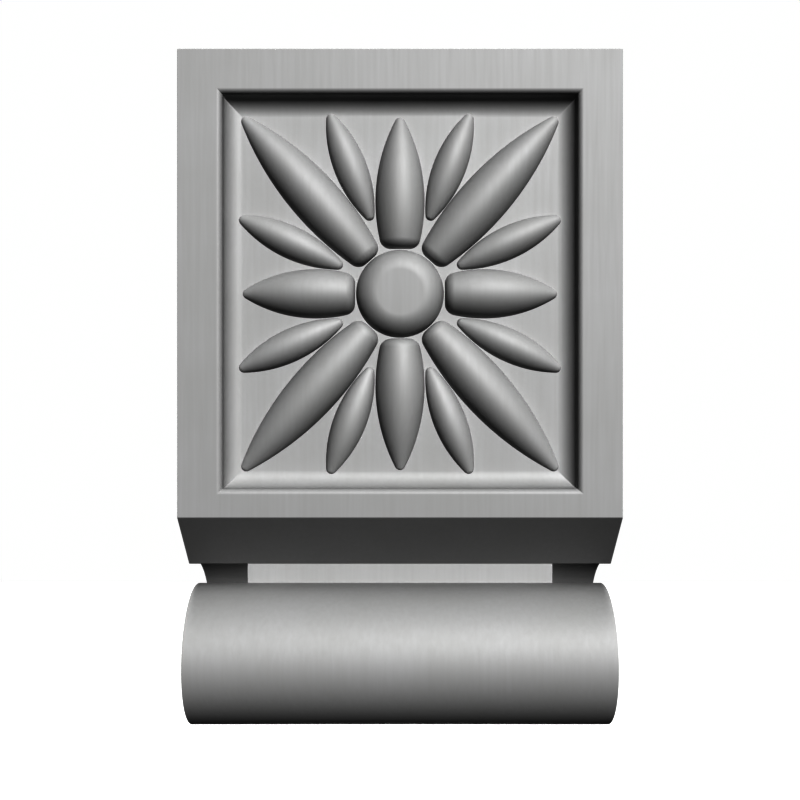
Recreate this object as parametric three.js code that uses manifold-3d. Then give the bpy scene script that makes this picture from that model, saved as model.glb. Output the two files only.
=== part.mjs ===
// A carved wall bracket: a square block with a rosette in a sunk panel, and a scroll under it.
// Millimetres, +Z up, the carved front towards -Y. The flat back lies on the plane Y = 0,
// and the origin is at the middle of that back, where the bracket meets the wall.

import * as THREE from "three";
import { mergeVertices } from "three/addons/utils/BufferGeometryUtils.js";
import Module from "manifold-3d";

const wasm = await Module();
wasm.setup();

// Block
const width = 150;
const projection = 100; // from the wall to the front face
const faceHeight = 157.8;
const bevel = 18.6; // the slope under the front face, as high as it is deep
const soffitLand = 4.7; // the flat strip between the slope and the hollow of the neck

// Scroll and neck
const rollRadius = 25.1;
const rollSetback = 5.7; // from the front face back to the front of the roll
const grooveHeight = 9.6; // the open gap between the soffit and the top of the roll
const quirkWidth = 2.1; // the narrow end of that gap, behind the roll
const neckSetback = 37.5; // from the front face back to the neck
const neckInset = 17.8; // from each side of the bracket in to the neck

// Sunk panel and the moulding round it
const panelMargin = 13.2; // at the sides and the top
const panelFootMargin = 7.8;
const panelDepth = 8.35;
const mouldingRound = 1.85; // the arris of the panel, rounded over
const mouldingFillet = 0.9; // the flat strip between that round and the hollow that meets the floor

// Rosette
const hubRadius = 15.1;
const hubHeight = 7.4;
const petalGap = 0.4; // bare floor between the hub and the long petals
const crestShare = 0.96; // how high a petal stands, as a share of half its width
const tipMargin = 0.2; // from a long petal's tip to the foot of the moulding
const tipOverlap = 1; // how far a short petal's tip runs on to the moulding

const innerRound = 3.8; // the rounded corners of a long petal's blunt inner end
const tipRound = 1.8;
const uprightHalfWidth = 8.45;
const uprightWidestAt = 16.3; // from the petal's inner end
const levelHalfWidth = 8.48;
const levelWidestAt = 13.4;
const diagonalHalfWidth = 8.5;
const diagonalWidestAt = 27.2;
const shortHalfWidth = 5.65;
const shortLength = 39.3;
const shortTipRound = 1.8; // both ends of a short petal
const steepTurn = 20.3; // degrees from a diagonal petal to the short one nearer upright
const shallowTurn = 23; // degrees from a diagonal petal to the short one nearer level

// Fineness of the curved faces, and how deep a joined piece is sunk into what carries it
const rollSteps = 54;
const hollowSteps = 14;
const quirkSteps = 4;
const mouldingSteps = 6;
const hubSides = 48;
const hubSteps = 6;
const petalRoundSteps = 4;
const petalSteps = 11;
const petalSides = 22; // two more than a multiple of four, so that the crest is an edge
const shortPetalSides = 18;
const sunk = 5;

// Levels down the bracket, and distances out from the wall
const height = faceHeight + bevel + grooveHeight + 2 * rollRadius;
const top = height / 2;
const soffitLevel = top - faceHeight - bevel;
const rollLevel = soffitLevel - grooveHeight - rollRadius;
const rollOut = projection - rollSetback - rollRadius;
const hollowOut = rollOut - rollRadius - quirkWidth;
const soffitOut = projection - bevel - soffitLand;

// The panel's floor and its moulding
const panelTop = top - panelMargin;
const panelFoot = top - faceHeight + panelFootMargin;
const panelLevel = (panelTop + panelFoot) / 2;
const openingHalfWidth = width / 2 - panelMargin;
const openingHalfHeight = (panelTop - panelFoot) / 2;
const mouldingHollow = panelDepth - mouldingRound - mouldingFillet;
const mouldingWidth = mouldingRound + mouldingHollow;
const floorHalfWidth = openingHalfWidth - mouldingWidth;
const floorHalfHeight = openingHalfHeight - mouldingWidth;
const floorOut = projection - panelDepth;

// Points along a round or oval stretch, both ends included.
function arc(x, y, xRadius, yRadius, from, to, steps) {
  return new THREE.EllipseCurve(x, y, xRadius, yRadius, from, to, to < from).getPoints(steps);
}

// A closed geometry as a solid that can be joined and cut.
function solid(geometry) {
  const bare = geometry.clone();
  bare.deleteAttribute("normal");
  bare.deleteAttribute("uv");
  const merged = mergeVertices(bare, 1e-4);
  const mesh = new wasm.Mesh({
    numProp: 3,
    vertProperties: new Float32Array(merged.getAttribute("position").array),
    triVerts: new Uint32Array(merged.index.array),
  });
  return new wasm.Manifold(mesh);
}

// A joined and cut solid as a geometry again.
function geometryOf(manifold) {
  const mesh = manifold.getMesh();
  const geometry = new THREE.BufferGeometry();
  geometry.setAttribute("position", new THREE.BufferAttribute(mesh.vertProperties, 3));
  geometry.setIndex(new THREE.BufferAttribute(mesh.triVerts, 1));
  geometry.computeVertexNormals();
  return geometry;
}

// A bar along X. Its outline is drawn in distances out from the wall and levels up.
function barAlongX(outline, length) {
  const bar = new THREE.ExtrudeGeometry(new THREE.Shape(outline), { depth: length, bevelEnabled: false });
  const out = new THREE.Vector3(0, -1, 0);
  const up = new THREE.Vector3(0, 0, 1);
  const along = new THREE.Vector3(-1, 0, 0);
  bar.translate(0, 0, -length / 2);
  return bar.applyMatrix4(new THREE.Matrix4().makeBasis(out, up, along));
}

// The side view of the block, slope, neck hollow and roll, carried along the whole width.
function bodyBar() {
  const outline = [
    new THREE.Vector2(0, top),
    new THREE.Vector2(0, rollLevel - rollRadius),
    ...arc(rollOut, rollLevel, rollRadius, rollRadius, -Math.PI / 2, Math.PI, rollSteps),
    ...arc(
      hollowOut + quirkWidth / 2, rollLevel, quirkWidth / 2, quirkWidth / 2, 0, -Math.PI, quirkSteps,
    ).slice(1),
    ...arc(
      soffitOut, rollLevel, soffitOut - hollowOut, soffitLevel - rollLevel, Math.PI, Math.PI / 2, hollowSteps,
    ).slice(1),
    new THREE.Vector2(projection - bevel, soffitLevel),
    new THREE.Vector2(projection, soffitLevel + bevel),
    new THREE.Vector2(projection, top),
  ];
  return barAlongX(outline, width);
}

// The neck: a plain block that fills the hollow behind the roll, short of both sides.
function neckBlock() {
  const back = hollowOut - sunk;
  const front = projection - neckSetback;
  const foot = rollLevel - quirkWidth;
  const head = soffitLevel + sunk;
  const block = new THREE.BoxGeometry(width - 2 * neckInset, front - back, head - foot);
  return block.translate(0, -(front + back) / 2, (head + foot) / 2);
}

// Half the moulding's section, from past the front face down to the floor: x is the distance
// from the middle of the panel, y the distance out from the wall.
function mouldingSection(openingHalf) {
  const wall = openingHalf - mouldingRound;
  const foot = wall - mouldingHollow;
  return [
    new THREE.Vector2(openingHalf, projection + sunk),
    ...arc(openingHalf, projection - mouldingRound, mouldingRound, mouldingRound,
      Math.PI / 2, Math.PI, mouldingSteps),
    ...arc(foot, floorOut + mouldingHollow, mouldingHollow, mouldingHollow, 0, -Math.PI / 2, mouldingSteps),
  ];
}

// What is carved out of the panel: the moulding's section run across and run up, and what
// the two have in common, which mitres the corners.
function panelHollow() {
  const mirrored = (half) => [...half, ...half.map((p) => new THREE.Vector2(-p.x, p.y)).reverse()];
  const across = new THREE.Shape(mirrored(mouldingSection(openingHalfWidth)));
  const upright = new THREE.ExtrudeGeometry(across, { depth: 2 * openingHalfHeight, bevelEnabled: false });
  upright.translate(0, 0, -openingHalfHeight);
  upright.rotateZ(Math.PI); // the section is drawn outwards, and outwards is -Y
  const up = mirrored(mouldingSection(openingHalfHeight)).map((p) => new THREE.Vector2(p.y, p.x));
  const level = barAlongX(up, 2 * openingHalfWidth);
  return solid(upright).intersect(solid(level)).translate([0, 0, panelLevel]);
}

// The round boss in the middle, flat on top with its rim rounded over.
function hub() {
  const flat = hubRadius - hubHeight;
  const profile = [
    new THREE.Vector2(0, -sunk),
    new THREE.Vector2(hubRadius, -sunk),
    ...arc(flat, 0, hubHeight, hubHeight, 0, Math.PI / 2, hubSteps),
    new THREE.Vector2(0, hubHeight),
  ];
  const boss = new THREE.LatheGeometry(profile, hubSides);
  return solid(boss.rotateX(Math.PI));
}

// A petal is half a spindle: its side is one arc from the rounded inner end to the full round
// of the tip, turned about an axis that lies in the panel's floor. In this section x is the
// distance off that axis and y the distance along it.
function petalSection(halfWidth, widestAt, length, inner, tip) {
  const run = length - tip - widestAt;
  const sideRadius = (run ** 2 + halfWidth ** 2 - tip ** 2) / (2 * (halfWidth - tip));
  const sideX = halfWidth - sideRadius;
  const innerX = sideX + Math.sqrt((sideRadius - inner) ** 2 - (widestAt - inner) ** 2);
  const innerAngle = Math.atan2(inner - widestAt, innerX - sideX);
  const tipAngle = Math.atan2(run, -sideX);
  const quarter = Math.PI / 2;
  return [
    new THREE.Vector2(0, 0),
    ...arc(innerX, inner, inner, inner, -quarter, innerAngle, petalRoundSteps),
    ...arc(sideX, widestAt, sideRadius, sideRadius, innerAngle, tipAngle, petalSteps).slice(1, -1),
    ...arc(0, length - tip, tip, tip, tipAngle, quarter, petalRoundSteps),
  ];
}

// A petal's section turned into its spindle and laid on the floor, pointing away from the
// middle at an angle from level, with its inner end at a distance from the middle.
function petal(section, sides, angle, start) {
  const spindle = new THREE.LatheGeometry(section, sides);
  spindle.rotateY(Math.PI / sides);
  spindle.translate(0, start, 0);
  spindle.scale(1, 1, crestShare);
  spindle.rotateX(Math.PI / 2);
  spindle.rotateY(Math.PI / 2 - angle);
  return solid(spindle);
}

// How far it is from the middle of the panel to the edge of its floor, at an angle from level.
function floorReach(angle, margin) {
  const across = (floorHalfWidth - margin) / Math.abs(Math.cos(angle));
  const up = (floorHalfHeight - margin) / Math.abs(Math.sin(angle));
  return Math.min(across, up);
}

// A long petal starts beside the hub and ends just short of the moulding.
function longPetal(halfWidth, widestAt, angle) {
  const start = hubRadius + petalGap;
  const length = floorReach(angle, tipMargin) - start;
  return petal(petalSection(halfWidth, widestAt, length, innerRound, tipRound), petalSides, angle, start);
}

// A short petal has one length, and its tip just touches the moulding.
function shortPetal(angle) {
  const start = floorReach(angle, -tipOverlap) - shortLength;
  const section = petalSection(shortHalfWidth, shortLength / 2, shortLength, shortTipRound, shortTipRound);
  return petal(section, shortPetalSides, angle, start);
}

// The rosette: its hub, four long petals on the axes, and in each quarter a diagonal petal
// that points to the corner of the floor, with a short one on either side of it.
function rosette() {
  const diagonal = Math.atan2(floorHalfHeight - tipMargin, floorHalfWidth - tipMargin);
  const steep = diagonal + THREE.MathUtils.degToRad(steepTurn);
  const shallow = diagonal - THREE.MathUtils.degToRad(shallowTurn);
  const pieces = [hub()];
  for (const side of [0, Math.PI]) {
    pieces.push(longPetal(levelHalfWidth, levelWidestAt, side));
    pieces.push(longPetal(uprightHalfWidth, uprightWidestAt, side + Math.PI / 2));
    for (const turn of [1, -1]) {
      pieces.push(longPetal(diagonalHalfWidth, diagonalWidestAt, side + turn * diagonal));
      pieces.push(shortPetal(side + turn * steep));
      pieces.push(shortPetal(side + turn * shallow));
    }
  }
  return pieces.map((piece) => piece.translate([0, -floorOut, panelLevel]));
}

const paint = new THREE.MeshStandardMaterial({ color: 0x9e9e9e, roughness: 0.6, metalness: 0 });

let carving = solid(bodyBar()).add(solid(neckBlock())).subtract(panelHollow());
for (const piece of rosette()) {
  carving = carving.add(piece);
}

const bracket = new THREE.Mesh(geometryOf(carving), paint);
bracket.name = "carved_bracket";

const part = new THREE.Group();
part.add(bracket);

export default part;
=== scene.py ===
# A carved wall bracket in painted timber, modelled smooth in the space of its CAD solid.
# Metres, +Z up, the carved front towards -Y, the flat back on the plane Y = 0.
import math

import bmesh
import bpy
from mathutils import Matrix, Vector


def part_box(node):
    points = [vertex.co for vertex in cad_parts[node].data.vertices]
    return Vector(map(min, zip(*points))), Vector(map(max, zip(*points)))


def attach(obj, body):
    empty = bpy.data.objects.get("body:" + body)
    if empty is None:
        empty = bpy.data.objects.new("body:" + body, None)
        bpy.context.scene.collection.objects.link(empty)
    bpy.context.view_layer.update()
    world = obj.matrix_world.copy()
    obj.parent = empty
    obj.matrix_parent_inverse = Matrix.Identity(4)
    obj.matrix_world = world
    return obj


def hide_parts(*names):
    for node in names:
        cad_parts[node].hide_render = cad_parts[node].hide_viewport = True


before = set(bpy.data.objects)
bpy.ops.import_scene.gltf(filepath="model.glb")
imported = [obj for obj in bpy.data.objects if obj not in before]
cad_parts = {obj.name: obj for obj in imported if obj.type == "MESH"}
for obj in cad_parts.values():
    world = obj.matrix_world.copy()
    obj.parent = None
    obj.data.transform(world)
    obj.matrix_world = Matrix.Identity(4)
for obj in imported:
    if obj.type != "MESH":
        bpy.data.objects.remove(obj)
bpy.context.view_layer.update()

NODE = "carved_bracket"
BOX_LOW, BOX_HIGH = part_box(NODE)
ACROSS = Vector((1, 0, 0))
INWARDS = Vector((0, 1, 0))
UP = Vector((0, 0, 1))
QUARTER = math.pi / 2

# Block
TOP, FOOT = BOX_HIGH.z, BOX_LOW.z
FRONT, BACK = BOX_LOW.y, BOX_HIGH.y
WIDTH = BOX_HIGH.x - BOX_LOW.x
FACE_HEIGHT = 0.1578
SLOPE = 0.0186
SOFFIT_LAND = 0.0047
ARRIS = 0.00025
ARRIS_TURN = math.radians(30)

# Scroll, which is a plain roll, with the narrow quirk behind it, and neck
ROLL_RADIUS = 0.0251
ROLL_SETBACK = 0.0057
QUIRK_WIDTH = 0.0021
NECK_SETBACK = 0.0375
NECK_INSET = 0.0178
SOFFIT_Z = TOP - FACE_HEIGHT - SLOPE
SOFFIT_Y = FRONT + SLOPE + SOFFIT_LAND
ROLL_Y = FRONT + ROLL_SETBACK + ROLL_RADIUS
ROLL_Z = FOOT + ROLL_RADIUS
HOLLOW_Y = ROLL_Y + ROLL_RADIUS + QUIRK_WIDTH

# Sunk panel
PANEL_MARGIN = 0.0132
PANEL_FOOT_MARGIN = 0.0078
PANEL_DEPTH = 0.00835
MOULDING_ROUND = 0.00185
MOULDING_FILLET = 0.0009
MOULDING_HOLLOW = PANEL_DEPTH - MOULDING_ROUND - MOULDING_FILLET
MOULDING_WIDTH = MOULDING_ROUND + MOULDING_HOLLOW
OPENING_HALF_WIDTH = WIDTH / 2 - PANEL_MARGIN
OPENING_HALF_HEIGHT = (FACE_HEIGHT - PANEL_MARGIN - PANEL_FOOT_MARGIN) / 2
FLOOR_HALF_WIDTH = OPENING_HALF_WIDTH - MOULDING_WIDTH
FLOOR_HALF_HEIGHT = OPENING_HALF_HEIGHT - MOULDING_WIDTH
PANEL_MIDDLE = Vector((0, FRONT + PANEL_DEPTH, TOP - PANEL_MARGIN - OPENING_HALF_HEIGHT))

# Rosette
HUB_RADIUS = 0.0151
HUB_HEIGHT = 0.0074
PETAL_GAP = 0.0004
CREST_SHARE = 0.96
TIP_MARGIN = 0.0002
TIP_OVERLAP = 0.001
INNER_ROUND = 0.0038
TIP_ROUND = 0.0018
UPRIGHT_PETAL = {"half_width": 0.00845, "widest_at": 0.0163}
LEVEL_PETAL = {"half_width": 0.00848, "widest_at": 0.0134}
DIAGONAL_PETAL = {"half_width": 0.0085, "widest_at": 0.0272}
SHORT_HALF_WIDTH = 0.00565
SHORT_LENGTH = 0.0393
SHORT_ROUND = 0.0018
STEEP_TURN = math.radians(20.3)
SHALLOW_TURN = math.radians(23)

# How far one solid runs into the next, and how far its corners stay out of the other's plane
SUNK = 0.005
CLEAR = 0.0001

# Places nearer than these are one point, or lie on the same line
SAME_POINT = 0.000001
TOUCHING = 0.00001

# Steps in each curve
ARRIS_STEPS = 3
ROLL_STEPS = 120
QUIRK_STEPS = 8
HOLLOW_STEPS = 40
MOULDING_ROUND_STEPS = 10
MOULDING_HOLLOW_STEPS = 14
HUB_SHOULDER_STEPS = 20
HUB_SIDES = 128
PETAL_END_STEPS = 12
PETAL_SIDE_STEPS = 32
PETAL_TIP_STEPS = 8
PETAL_SIDES = 60

# Shading: an edge that turns more than this stays sharp, and large flats keep their own normals
SHARP_TURN = math.radians(32)
FLATS_WEIGHT = 100

# Patterns of the paint: a stretch under 1 draws the pattern out along that axis
GRAIN = {"stretch": (1, 1, 0.04), "scale": 700, "detail": 3, "wander": 0.5}
RINGS = {"stretch": (1, 1, 0.08), "scale": 140, "detail": 2, "wander": 0.8}
BRUSHING = {"stretch": (1, 1, 0.5), "scale": 1400, "detail": 2}
CLOUDS = {"stretch": (1, 1, 1), "scale": 45, "detail": 3}
NOISE_MIDDLE = (0.3, 0.7)

# Greys of the paint, its roughness, and the depth of its reliefs in metres
THIN_PAINT = (0.338, 0.338, 0.337, 1)
FULL_PAINT = (0.35, 0.35, 0.351, 1)
GRAIN_STREAK = (0.322, 0.321, 0.318, 1)
STREAKS_SHOW = 0.4
ROUGHNESS = (0.65, 0.67)
GLOSS = 1
RINGS_DEPTH = 0.00005
GRAIN_DEPTH = 0.00001
BRUSHING_DEPTH = 0.000006

# Suns: the way to each, its strength, its softness in degrees, and whether it casts shadows.
# The picture has no cast shadows, so its key has none. The fills light the sides that it leaves dark.
SUNS = {
    "key": ((0.237, -0.86, 0.4525), 6.25, 10, False),
    "left_fill": ((-0.94, 0.28, -0.2), 4.5, 20, True),
    "right_fill": ((0.94, 0.28, -0.2), 2.7, 20, True),
    "back_fill": ((0, 0.9, -0.43), 2.2, 20, True),
    "top_fill": ((0, 0.3, 0.95), 2.3, 20, True),
}

# Surroundings: white to the camera, and a faint light to the piece
WHITE = (1, 1, 1, 1)
SEEN_LIGHT = 1
FAINT_LIGHT = 0.02
PALE = (0.8, 0.8, 0.8, 1)
FLOOR_SIZE = 6
FLOOR_DROP = 1.1

# Camera and view: straight at the face, with tones as steep as the picture's
CAMERA_DISTANCE = 0.3247
CAMERA_BELOW_TOP = 0.1182
SENSOR_WIDTH = 36
VIEW_ANGLE = math.radians(45)
VIEW_GAMMA = 0.38


# Drawing a section as a wire of edges

def line_to(bm, vert, place):
    made = bmesh.ops.extrude_vert_indiv(bm, verts=[vert])["verts"][0]
    made.co = place
    return made


def turn_round(bm, vert, centre, axis, angle, steps):
    made = bmesh.ops.spin(bm, geom=[vert], cent=centre, axis=axis, angle=angle, steps=steps)
    return made["geom_last"][0]


def merge_and_face_out(bm):
    bmesh.ops.remove_doubles(bm, verts=bm.verts, dist=SAME_POINT)
    bmesh.ops.recalc_face_normals(bm, faces=bm.faces)


def as_object(bm, name):
    mesh = bpy.data.meshes.new(name)
    bm.to_mesh(mesh)
    bm.free()
    made = bpy.data.objects.new(name, mesh)
    bpy.context.scene.collection.objects.link(made)
    return made


# Block, slope, neck hollow and roll: one side view carried across the width

def draw_side_view(bm):
    side = -WIDTH / 2
    start = bm.verts.new((side, BACK, TOP))
    vert = line_to(bm, start, (side, BACK, FOOT))
    vert = line_to(bm, vert, (side, ROLL_Y, FOOT))
    vert = turn_round(bm, vert, (side, ROLL_Y, ROLL_Z), ACROSS, -3 * QUARTER, ROLL_STEPS)
    quirk = (side, HOLLOW_Y - QUIRK_WIDTH / 2, ROLL_Z)
    vert = turn_round(bm, vert, quirk, ACROSS, 2 * QUARTER, QUIRK_STEPS)
    vert = turn_round(bm, vert, (side, SOFFIT_Y, ROLL_Z), ACROSS, QUARTER, HOLLOW_STEPS)
    vert = line_to(bm, vert, (side, FRONT + SLOPE, SOFFIT_Z))
    vert = line_to(bm, vert, (side, FRONT, SOFFIT_Z + SLOPE))
    vert = line_to(bm, vert, (side, FRONT, TOP))
    bm.edges.new((vert, start))
    return bmesh.ops.contextual_create(bm, geom=bm.edges[:])["faces"]


def moulding_section():
    """Points across the moulding, each (how far in from the opening, how far down)."""
    points = [(0, 0)]
    for i in range(1, MOULDING_ROUND_STEPS + 1):
        turn = QUARTER * i / MOULDING_ROUND_STEPS
        points.append((MOULDING_ROUND * math.sin(turn), MOULDING_ROUND * (1 - math.cos(turn))))
    fillet_foot = MOULDING_ROUND + MOULDING_FILLET
    for i in range(MOULDING_HOLLOW_STEPS + 1):
        turn = QUARTER * i / MOULDING_HOLLOW_STEPS
        points.append((MOULDING_ROUND + MOULDING_HOLLOW * (1 - math.cos(turn)),
                       fillet_foot + MOULDING_HOLLOW * math.sin(turn)))
    return points


def sink_panel(bm, face):
    """Insets the face step by step down the moulding, until it is the panel's floor."""
    bmesh.ops.inset_region(bm, faces=[face], thickness=PANEL_MARGIN, use_even_offset=True)
    foot = min(v.co.z for v in face.verts)
    foot_corners = [v for v in face.verts if v.co.z < foot + TOUCHING]
    bmesh.ops.translate(bm, verts=foot_corners, vec=-UP * (PANEL_MARGIN - PANEL_FOOT_MARGIN))
    points = moulding_section()
    for (last_in, last_down), (far_in, far_down) in zip(points, points[1:]):
        bmesh.ops.inset_region(bm, faces=[face], thickness=far_in - last_in,
                               depth=last_down - far_down, use_even_offset=True)


def ease(bm, edges):
    """Takes the sharpness off edges with a small round."""
    bmesh.ops.bevel(bm, geom=edges, offset=ARRIS, affect="EDGES", segments=ARRIS_STEPS,
                    profile=0.5, material=-1, clamp_overlap=True)


def make_block():
    bm = bmesh.new()
    faces = draw_side_view(bm)
    made = bmesh.ops.extrude_face_region(bm, geom=faces)["geom"]
    moved = [g for g in made if isinstance(g, bmesh.types.BMVert)]
    bmesh.ops.translate(bm, verts=moved, vec=ACROSS * WIDTH)
    merge_and_face_out(bm)
    arrises = [e for e in bm.edges if e.calc_face_angle(0) > ARRIS_TURN]
    front = min(bm.faces, key=lambda f: f.calc_center_median().y)
    sink_panel(bm, front)
    ease(bm, arrises)
    return as_object(bm, "block")


def make_neck():
    bm = bmesh.new()
    bmesh.ops.create_cube(bm, size=1)
    near, far = FRONT + NECK_SETBACK, HOLLOW_Y + SUNK
    foot, head = ROLL_Z - QUIRK_WIDTH, SOFFIT_Z + SUNK
    bmesh.ops.scale(bm, verts=bm.verts, vec=(WIDTH - 2 * NECK_INSET, far - near, head - foot))
    bmesh.ops.translate(bm, verts=bm.verts, vec=(0, (near + far) / 2, (foot + head) / 2))
    ease(bm, [e for e in bm.edges if all(v.co.y < near + TOUCHING for v in e.verts)])
    return as_object(bm, "neck")


# Rosette: a hub turned on a lathe and petals turned as spindles, half sunk in the panel's floor

def make_hub():
    """A low boss with a round shoulder. Its lowest ring is just under the floor's plane, not in it."""
    bm = bmesh.new()
    shoulder = HUB_HEIGHT + CLEAR
    vert = bm.verts.new((0, SUNK, 0))
    vert = line_to(bm, vert, (HUB_RADIUS, SUNK, 0))
    vert = line_to(bm, vert, (HUB_RADIUS, CLEAR, 0))
    vert = turn_round(bm, vert, (HUB_RADIUS - shoulder, CLEAR, 0), UP, -QUARTER, HUB_SHOULDER_STEPS)
    line_to(bm, vert, (0, -HUB_HEIGHT, 0))
    bmesh.ops.spin(bm, geom=bm.verts[:] + bm.edges[:], cent=(0, 0, 0), axis=INWARDS,
                   angle=4 * QUARTER, steps=HUB_SIDES, use_merge=True)
    merge_and_face_out(bm)
    return bm


def make_petal(half_width, widest_at, length, inner, tip):
    """A spindle along +Z from the origin, with one arc for its side and a round at each end.

    The inner round starts from a flat end, and the tip's closes on the axis.
    """
    run = length - tip - widest_at
    radius = (run ** 2 + half_width ** 2 - tip ** 2) / (2 * (half_width - tip))
    side_x = half_width - radius
    inner_x = side_x + math.sqrt((radius - inner) ** 2 - (widest_at - inner) ** 2)
    inner_angle = math.atan2(widest_at - inner, inner_x - side_x)
    tip_angle = math.atan2(run, -side_x)
    bm = bmesh.new()
    vert = bm.verts.new((0, 0, 0))
    vert = line_to(bm, vert, (inner_x, 0, 0))
    vert = turn_round(bm, vert, (inner_x, 0, inner), INWARDS, inner_angle - QUARTER, PETAL_END_STEPS)
    side_turn = -inner_angle - tip_angle
    vert = turn_round(bm, vert, (side_x, 0, widest_at), INWARDS, side_turn, PETAL_SIDE_STEPS)
    turn_round(bm, vert, (0, 0, length - tip), INWARDS, tip_angle - QUARTER, PETAL_TIP_STEPS)
    # Half a step round, so that no corner of the spindle lies in the floor's plane
    bmesh.ops.rotate(bm, verts=bm.verts, matrix=Matrix.Rotation(2 * QUARTER / PETAL_SIDES, 3, "Z"))
    bmesh.ops.spin(bm, geom=bm.verts[:] + bm.edges[:], cent=(0, 0, 0), axis=UP,
                   angle=4 * QUARTER, steps=PETAL_SIDES, use_merge=True)
    merge_and_face_out(bm)
    return bm


def floor_reach(angle, margin):
    """How far the floor's edge, less a margin, is from its middle at an angle from level."""
    across = abs(math.cos(angle)) / (FLOOR_HALF_WIDTH - margin)
    up = abs(math.sin(angle)) / (FLOOR_HALF_HEIGHT - margin)
    return 1 / max(across, up)


def place_petal(rosette, petal, angle, start):
    """Flattens a spindle to its crest's height and lays it in the rosette, its inner end at start."""
    bmesh.ops.scale(petal, verts=petal.verts, vec=(1, CREST_SHARE, 1))
    bmesh.ops.translate(petal, verts=petal.verts, vec=UP * start + INWARDS * CLEAR)
    bmesh.ops.rotate(petal, verts=petal.verts, matrix=Matrix.Rotation(QUARTER - angle, 3, "Y"))
    mesh = bpy.data.meshes.new("petal")
    petal.to_mesh(mesh)
    petal.free()
    rosette.from_mesh(mesh)
    bpy.data.meshes.remove(mesh)


def long_petal(rosette, shape, angle):
    start = HUB_RADIUS + PETAL_GAP
    length = floor_reach(angle, TIP_MARGIN) - start
    petal = make_petal(**shape, length=length, inner=INNER_ROUND, tip=TIP_ROUND)
    place_petal(rosette, petal, angle, start)


def short_petal(rosette, angle):
    start = floor_reach(angle, -TIP_OVERLAP) - SHORT_LENGTH
    petal = make_petal(SHORT_HALF_WIDTH, SHORT_LENGTH / 2, SHORT_LENGTH, SHORT_ROUND, SHORT_ROUND)
    place_petal(rosette, petal, angle, start)


def make_rosette():
    rosette = make_hub()
    diagonal = math.atan2(FLOOR_HALF_HEIGHT - TIP_MARGIN, FLOOR_HALF_WIDTH - TIP_MARGIN)
    for side in (0, 2 * QUARTER):
        long_petal(rosette, LEVEL_PETAL, side)
        long_petal(rosette, UPRIGHT_PETAL, side + QUARTER)
        for turn in (1, -1):
            long_petal(rosette, DIAGONAL_PETAL, side + turn * diagonal)
            short_petal(rosette, side + turn * (diagonal + STEEP_TURN))
            short_petal(rosette, side + turn * (diagonal - SHALLOW_TURN))
    bmesh.ops.translate(rosette, verts=rosette.verts, vec=PANEL_MIDDLE)
    return as_object(rosette, "rosette")


# One closed mesh, with its shading

def settle(piece):
    """Puts what the modifiers make into the mesh itself."""
    shown = piece.evaluated_get(bpy.context.evaluated_depsgraph_get())
    mesh = bpy.data.meshes.new_from_object(shown)
    piece.modifiers.clear()
    piece.data = mesh


def join_solids(base, others):
    for other in others:
        join = base.modifiers.new("join", "BOOLEAN")
        join.operation = "UNION"
        join.solver = "EXACT"
        join.object = other
    settle(base)
    for other in others:
        bpy.data.objects.remove(other)


def in_mitre_corner(place):
    """True of a place in one of the four corners where the moulding's sides meet."""
    across, up = abs(place.x), abs(place.z)
    past_floor = across > FLOOR_HALF_WIDTH - TOUCHING and up > FLOOR_HALF_HEIGHT - TOUCHING
    in_opening = across < OPENING_HALF_WIDTH + TOUCHING and up < OPENING_HALF_HEIGHT + TOUCHING
    return past_floor and in_opening


def is_mitre(start, end):
    """True of an edge that lies in a single mitre corner."""
    same_corner = start.x * end.x > 0 and start.z * end.z > 0
    return same_corner and in_mitre_corner(start) and in_mitre_corner(end)


def smooth_surfaces(piece):
    mesh = piece.data
    mesh.polygons.foreach_set("use_smooth", [True] * len(mesh.polygons))
    mesh.set_sharp_from_angle(angle=SHARP_TURN)
    # The moulding's mitres stay sharp from end to end, where its flats meet at a slight angle too
    for edge in mesh.edges:
        start, end = (mesh.vertices[i].co - PANEL_MIDDLE for i in edge.vertices)
        if is_mitre(start, end):
            edge.use_edge_sharp = True
    flats = piece.modifiers.new("flats", "WEIGHTED_NORMAL")
    flats.mode = "FACE_AREA"
    flats.weight = FLATS_WEIGHT
    flats.keep_sharp = True
    settle(piece)


# Finish

def noise(tree, stretch, scale, detail, wander=0):
    """A noise in the piece's own space, so it stays with the piece."""
    place = tree.nodes.new("ShaderNodeTexCoord")
    drawn_out = tree.nodes.new("ShaderNodeMapping")
    drawn_out.inputs["Scale"].default_value = stretch
    pattern = tree.nodes.new("ShaderNodeTexNoise")
    pattern.inputs["Scale"].default_value = scale
    pattern.inputs["Detail"].default_value = detail
    pattern.inputs["Distortion"].default_value = wander
    tree.links.new(place.outputs["Object"], drawn_out.inputs["Vector"])
    tree.links.new(drawn_out.outputs["Vector"], pattern.inputs["Vector"])
    return pattern.outputs["Fac"]


def spread(tree, value, low, high):
    """Carries the middle of a noise's range to the range from low to high."""
    carry = tree.nodes.new("ShaderNodeMapRange")
    carry.inputs["From Min"].default_value = NOISE_MIDDLE[0]
    carry.inputs["From Max"].default_value = NOISE_MIDDLE[1]
    carry.inputs["To Min"].default_value = low
    carry.inputs["To Max"].default_value = high
    tree.links.new(value, carry.inputs["Value"])
    return carry.outputs["Result"]


def blend_colours(tree, factor, first, second):
    mix = tree.nodes.new("ShaderNodeMix")
    mix.data_type = "RGBA"
    mix.inputs["A"].default_value = first
    mix.inputs["B"].default_value = second
    tree.links.new(factor, mix.inputs["Factor"])
    return mix


def relief(tree, height, depth, below=None):
    """A relief as deep as depth, laid over the one below it."""
    bump = tree.nodes.new("ShaderNodeBump")
    bump.inputs["Strength"].default_value = 1
    bump.inputs["Distance"].default_value = depth
    tree.links.new(height, bump.inputs["Height"])
    if below:
        tree.links.new(below, bump.inputs["Normal"])
    return bump.outputs["Normal"]


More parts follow.
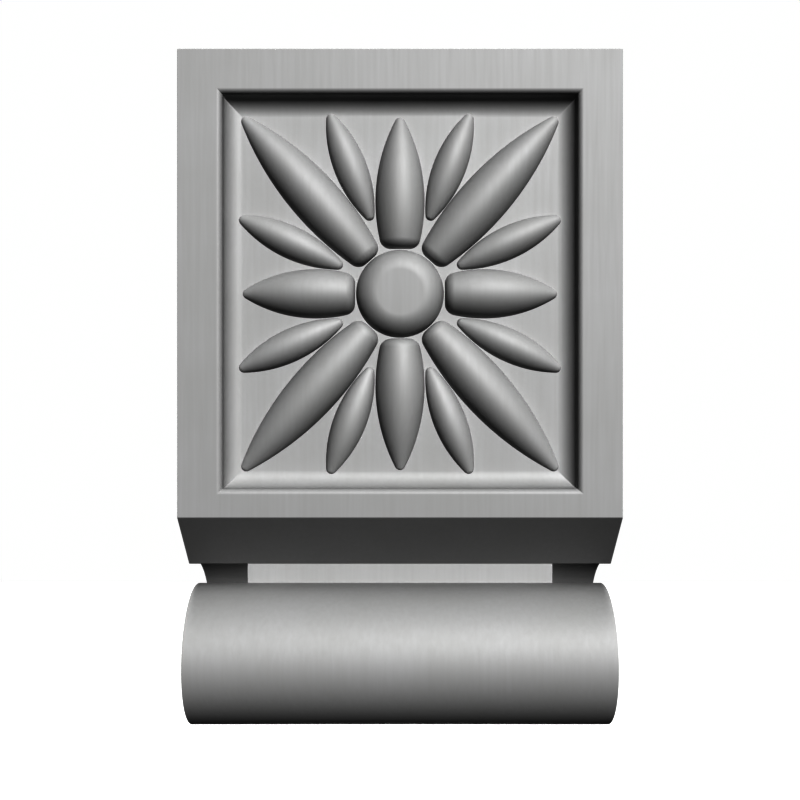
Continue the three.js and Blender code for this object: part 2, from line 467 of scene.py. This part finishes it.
def paint_material():
    """A satin grey paint, brushed thinly enough for the upright grain under it to show."""
    material = bpy.data.materials.new("satin_grey_paint")
    material.use_nodes = True
    tree = material.node_tree
    shader = tree.nodes["Principled BSDF"]
    shader.inputs["Specular IOR Level"].default_value = GLOSS

    grain = noise(tree, **GRAIN)
    rings = noise(tree, **RINGS)
    brushing = noise(tree, **BRUSHING)
    clouds = noise(tree, **CLOUDS)

    coat = blend_colours(tree, spread(tree, clouds, 0, 1), THIN_PAINT, FULL_PAINT)
    streaked = blend_colours(tree, spread(tree, grain, 0, STREAKS_SHOW), FULL_PAINT, GRAIN_STREAK)
    tree.links.new(coat.outputs["Result"], streaked.inputs["A"])
    tree.links.new(streaked.outputs["Result"], shader.inputs["Base Color"])
    tree.links.new(spread(tree, grain, *ROUGHNESS), shader.inputs["Roughness"])

    normal = relief(tree, rings, RINGS_DEPTH)
    normal = relief(tree, grain, GRAIN_DEPTH, normal)
    normal = relief(tree, brushing, BRUSHING_DEPTH, normal)
    tree.links.new(normal, shader.inputs["Normal"])
    return material


# Light, floor and camera

def sun(name, towards, strength, softness, shadow):
    light = bpy.data.lights.new(name, "SUN")
    light.energy = strength
    light.angle = math.radians(softness)
    light.use_shadow = shadow
    lamp = bpy.data.objects.new(name, light)
    lamp.rotation_mode = "QUATERNION"
    lamp.rotation_quaternion = Vector(towards).to_track_quat("Z", "Y")
    bpy.context.scene.collection.objects.link(lamp)


def make_light():
    for name, settings in SUNS.items():
        sun(name, *settings)
    world = bpy.data.worlds.new("studio")
    bpy.context.scene.world = world
    world.use_nodes = True
    nodes, links = world.node_tree.nodes, world.node_tree.links
    background = nodes["Background"]
    background.inputs["Color"].default_value = WHITE
    path = nodes.new("ShaderNodeLightPath")
    strength = nodes.new("ShaderNodeMapRange")
    strength.inputs["To Min"].default_value = FAINT_LIGHT
    strength.inputs["To Max"].default_value = SEEN_LIGHT
    links.new(path.outputs["Is Camera Ray"], strength.inputs["Value"])
    links.new(strength.outputs["Result"], background.inputs["Strength"])


def make_floor():
    """A pale floor for the camera alone: it throws no light or shade on the piece."""
    bm = bmesh.new()
    bmesh.ops.create_grid(bm, x_segments=1, y_segments=1, size=FLOOR_SIZE)
    bmesh.ops.translate(bm, verts=bm.verts, vec=UP * (FOOT - FLOOR_DROP))
    floor = as_object(bm, "floor")
    material = bpy.data.materials.new("pale_floor")
    material.use_nodes = True
    shader = material.node_tree.nodes["Principled BSDF"]
    shader.inputs["Base Color"].default_value = PALE
    shader.inputs["Specular IOR Level"].default_value = 0
    floor.data.materials.append(material)
    floor.visible_diffuse = False
    floor.visible_glossy = False
    floor.visible_shadow = False


def make_camera():
    data = bpy.data.cameras.new("camera")
    data.sensor_width = SENSOR_WIDTH
    data.lens = SENSOR_WIDTH / 2 / math.tan(VIEW_ANGLE / 2)
    data.dof.use_dof = False
    camera = bpy.data.objects.new("camera", data)
    camera.location = (0, FRONT - CAMERA_DISTANCE, TOP - CAMERA_BELOW_TOP)
    camera.rotation_euler = (QUARTER, 0, 0)
    bpy.context.scene.collection.objects.link(camera)
    bpy.context.scene.camera = camera


def set_view():
    view = bpy.context.scene.view_settings
    view.view_transform = "Standard"
    view.look = "None"
    view.gamma = VIEW_GAMMA


bracket = make_block()
join_solids(bracket, [make_neck(), make_rosette()])
bracket.name = "carved_bracket_finished"
smooth_surfaces(bracket)
bracket.data.materials.clear()
bracket.data.materials.append(paint_material())
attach(bracket, "root")
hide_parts(NODE)

make_light()
make_floor()
make_camera()
set_view()
